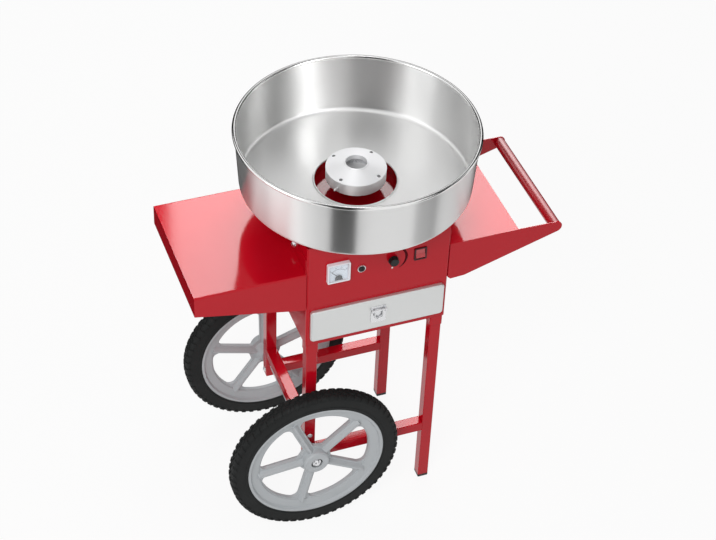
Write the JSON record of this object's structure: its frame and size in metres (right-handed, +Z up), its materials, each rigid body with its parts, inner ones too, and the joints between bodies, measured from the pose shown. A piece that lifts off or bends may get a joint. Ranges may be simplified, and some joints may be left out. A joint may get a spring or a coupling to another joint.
{
  "type": "cotton candy cart",
  "caption": "Cotton candy cart: a floss head spins in a wide steel bowl on a red cabinet with a drawer, carried by a wheeled tube frame with side shelves and a push bar.",
  "frame": {"origin": "on the ground, under the middle of the object's box", "axes": "+Z up, front with the drawer and controls at -Y, push bar at +X, wheels and long shelf at -X"},
  "size_m": [0.823, 0.5198, 0.962],
  "materials": {
    "red_paint": "gloss powder coat",
    "polished_steel": "polished",
    "drawer_steel": "satin",
    "bright_zinc": "bright plated",
    "head_aluminium": "satin",
    "wheel_grey": "moulded, fine grain",
    "tyre_rubber": "matt, block tread",
    "black_plastic": "fine grain",
    "white_plastic": "smooth",
    "clear_plastic": "clear",
    "red_plastic": "translucent red",
    "motor_grey": "satin",
    "brown_insulator": "pressed laminate",
    "ring_brass": "turned",
    "brush_carbon": "carbon"
  },
  "bodies": {
    "cart": {"left_front_leg": "red_paint", "left_rear_leg": "red_paint", "right_front_leg": "red_paint", "right_rear_leg": "red_paint", "front_stretcher": "red_paint", "rear_stretcher": "red_paint", "left_crossbar": "red_paint", "left_shelf": "red_paint", "right_tray": "red_paint", "handle_bar": "red_paint", "cabinet_shell": "red_paint", "rear_cover": "red_paint", "deck": "red_paint", "base_pan": "red_paint", "drawer_ceiling": "red_paint", "frame_bolts": "bright_zinc", "axle": "bright_zinc", "axle_washers": "bright_zinc", "axle_caps": "bright_zinc", "shelf_bolts": "bright_zinc", "case_screws": "bright_zinc", "drawer_runners": "bright_zinc", "motor_plate": "bright_zinc", "motor_posts": "bright_zinc", "fuse_holder": "bright_zinc", "foot_caps": "black_plastic", "cable_gland": "black_plastic", "switch_housing": "black_plastic", "heat_control": "black_plastic", "meter_case": "white_plastic", "meter_dial": "white_plastic", "meter_window": "clear_plastic", "motor": "motor_grey", "brush_holder": "brown_insulator", "brushes": "brush_carbon"},
    "front_wheel_set": {"front_wheel": "wheel_grey", "front_tyre": "tyre_rubber", "front_hub_bush": "black_plastic"},
    "rear_wheel_set": {"rear_wheel": "wheel_grey", "rear_tyre": "tyre_rubber", "rear_hub_bush": "black_plastic"},
    "spinner": {"spindle": "bright_zinc", "ring_insulator": "brown_insulator", "slip_rings": "ring_brass", "head_base": "head_aluminium", "head_band": "polished_steel", "heater_ring": "bright_zinc", "head_cover": "head_aluminium", "head_screws": "bright_zinc", "head_pins": "bright_zinc"},
    "bowl_unit": {"bowl": "polished_steel"},
    "drawer": {"drawer_tray": "drawer_steel", "drawer_front": "drawer_steel", "pull_plate": "bright_zinc"},
    "pull": {"pull_ring": "bright_zinc"},
    "knob": {"heat_knob": "black_plastic", "knob_shaft": "bright_zinc"},
    "rocker": {"switch_rocker": "red_plastic"},
    "needle": {"meter_needle": "black_plastic"},
    "fuse_plug": {"fuse_cap": "black_plastic"}
  },
  "joints": [
    {"name": "front_wheel_spin", "type": "hinge", "parent": "cart", "child": "front_wheel_set", "pos_m": [-0.153, -0.182, 0.1975], "axis": [0, 1, 0], "continuous": true},
    {"name": "rear_wheel_spin", "type": "hinge", "parent": "cart", "child": "rear_wheel_set", "pos_m": [-0.153, 0.182, 0.1975], "axis": [0, 1, 0], "continuous": true},
    {"name": "head_spin", "type": "hinge", "parent": "cart", "child": "spinner", "pos_m": [-0.0095, 0, 0.85], "axis": [0, 0, 1], "continuous": true},
    {"name": "bowl_lift", "type": "slide", "parent": "cart", "child": "bowl_unit", "axis": [0, 0, 1], "range_m": [0, 0.2]},
    {"name": "drawer_slide", "type": "slide", "parent": "cart", "child": "drawer", "axis": [0, -1, 0], "range_m": [0, 0.2]},
    {"name": "pull_swing", "type": "hinge", "parent": "drawer", "child": "pull", "pos_m": [-0.0095, -0.17, 0.596], "axis": [-1, 0, 0], "range_deg": [0, 95]},
    {"name": "knob_turn", "type": "hinge", "parent": "cart", "child": "knob", "pos_m": [0.0205, -0.156, 0.722], "axis": [0, 1, 0], "range_deg": [0, 270]},
    {"name": "rocker_tilt", "type": "hinge", "parent": "cart", "child": "rocker", "pos_m": [0.0825, -0.151, 0.722], "axis": [1, 0, 0], "range_deg": [0, 20]},
    {"name": "needle_swing", "type": "hinge", "parent": "cart", "child": "needle", "pos_m": [-0.1015, -0.161, 0.7095], "axis": [0, 1, 0], "range_deg": [0, 90]},
    {"name": "fuse_cap_turn", "type": "hinge", "parent": "cart", "child": "fuse_plug", "pos_m": [-0.0495, -0.156, 0.716], "axis": [0, -1, 0], "range_deg": [0, 90]}
  ]
}
